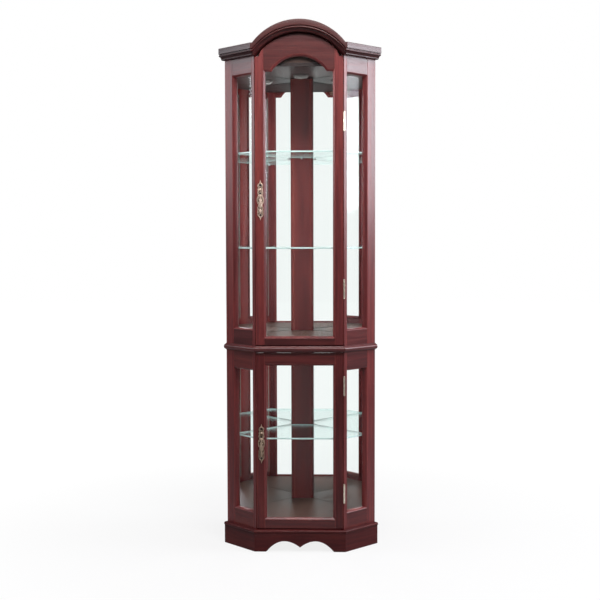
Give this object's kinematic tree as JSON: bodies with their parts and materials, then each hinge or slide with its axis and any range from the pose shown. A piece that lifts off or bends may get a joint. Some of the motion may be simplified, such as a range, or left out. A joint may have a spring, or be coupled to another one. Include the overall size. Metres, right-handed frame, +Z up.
{
  "type": "corner china cabinet with glass doors",
  "caption": "Tall corner china cabinet: canted front, arched crown, glazed doors above and below a belt moulding, glazed sides, mirrored back and glass shelves.",
  "frame": {"origin": "middle of the base's bounding box, on the floor", "axes": "+Z up; -Y is the front that holds the doors; +X is the viewer's right, the hinge side; the two rear walls meet behind at +Y"},
  "size_m": [0.5682, 0.3736, 1.83],
  "materials": {
    "cherry_wood": "satin stained cherry",
    "inner_veneer": "satin dark veneer",
    "back_board": "stained board, unpolished",
    "mirror": "polished silvered glass",
    "clear_glass": "clear polished",
    "antique_brass": "antique, brushed highlights",
    "hinge_brass": "polished",
    "pin_steel": "nickel plated",
    "lamp_housing": "satin",
    "lamp_lens": "frosted",
    "catch_plastic": "matt"
  },
  "bodies": {
    "cabinet": {"bottom_deck": "inner_veneer", "upper_floor": "inner_veneer", "ceiling": "inner_veneer", "header": "inner_veneer", "base_rail": "cherry_wood", "belt_deck": "cherry_wood", "back_post": "cherry_wood", "crown_front": "cherry_wood", "belt_front": "cherry_wood", "skirt_front": "cherry_wood", "side_frame_left": "cherry_wood", "side_frame_right": "cherry_wood", "crown_left": "cherry_wood", "crown_right": "cherry_wood", "belt_left": "cherry_wood", "belt_right": "cherry_wood", "skirt_left": "cherry_wood", "skirt_right": "cherry_wood", "back_panel_left": "back_board", "back_panel_right": "back_board", "mirror_upper_left": "mirror", "mirror_upper_right": "mirror", "mirror_lower_left": "mirror", "mirror_lower_right": "mirror", "side_glass_upper_left": "clear_glass", "side_glass_upper_right": "clear_glass", "side_glass_lower_left": "clear_glass", "side_glass_lower_right": "clear_glass", "top_shelf": "clear_glass", "middle_shelf": "clear_glass", "lower_shelf": "clear_glass", "upper_door_top_hinge_case_leaf": "hinge_brass", "upper_door_bottom_hinge_case_leaf": "hinge_brass", "lower_door_top_hinge_case_leaf": "hinge_brass", "lower_door_bottom_hinge_case_leaf": "hinge_brass", "top_shelf_pin_left": "pin_steel", "top_shelf_pin_right": "pin_steel", "top_shelf_pin_rear": "pin_steel", "middle_shelf_pin_left": "pin_steel", "middle_shelf_pin_right": "pin_steel", "middle_shelf_pin_rear": "pin_steel", "lower_shelf_pin_left": "pin_steel", "lower_shelf_pin_right": "pin_steel", "lower_shelf_pin_rear": "pin_steel", "lamp_housing": "lamp_housing", "lamp_lens": "lamp_lens", "upper_door_catch": "catch_plastic", "lower_door_catch": "catch_plastic"},
    "upper_door": {"upper_door_frame": "cherry_wood", "upper_door_glass": "clear_glass", "upper_door_top_hinge_door_leaf": "hinge_brass", "upper_door_bottom_hinge_door_leaf": "hinge_brass", "upper_pull_plate": "antique_brass"},
    "lower_door": {"lower_door_frame": "cherry_wood", "lower_door_glass": "clear_glass", "lower_door_top_hinge_door_leaf": "hinge_brass", "lower_door_bottom_hinge_door_leaf": "hinge_brass", "lower_pull_plate": "antique_brass"},
    "upper_drop": {"upper_pull_drop": "antique_brass"},
    "lower_drop": {"lower_pull_drop": "antique_brass"}
  },
  "joints": [
    {"name": "upper_door_hinge", "type": "hinge", "parent": "cabinet", "child": "upper_door", "pos_m": [0.1541, -0.16285, 1.202], "axis": [0, 0, 1], "range_deg": [0, 110]},
    {"name": "lower_door_hinge", "type": "hinge", "parent": "cabinet", "child": "lower_door", "pos_m": [0.1541, -0.16285, 0.3915], "axis": [0, 0, 1], "range_deg": [0, 110]},
    {"name": "upper_drop_pivot", "type": "hinge", "parent": "upper_door", "child": "upper_drop", "pos_m": [-0.1335, -0.16585, 1.237], "axis": [-1, 0, 0], "range_deg": [0, 75]},
    {"name": "lower_drop_pivot", "type": "hinge", "parent": "lower_door", "child": "lower_drop", "pos_m": [-0.1335, -0.16585, 0.394], "axis": [-1, 0, 0], "range_deg": [0, 75]}
  ]
}
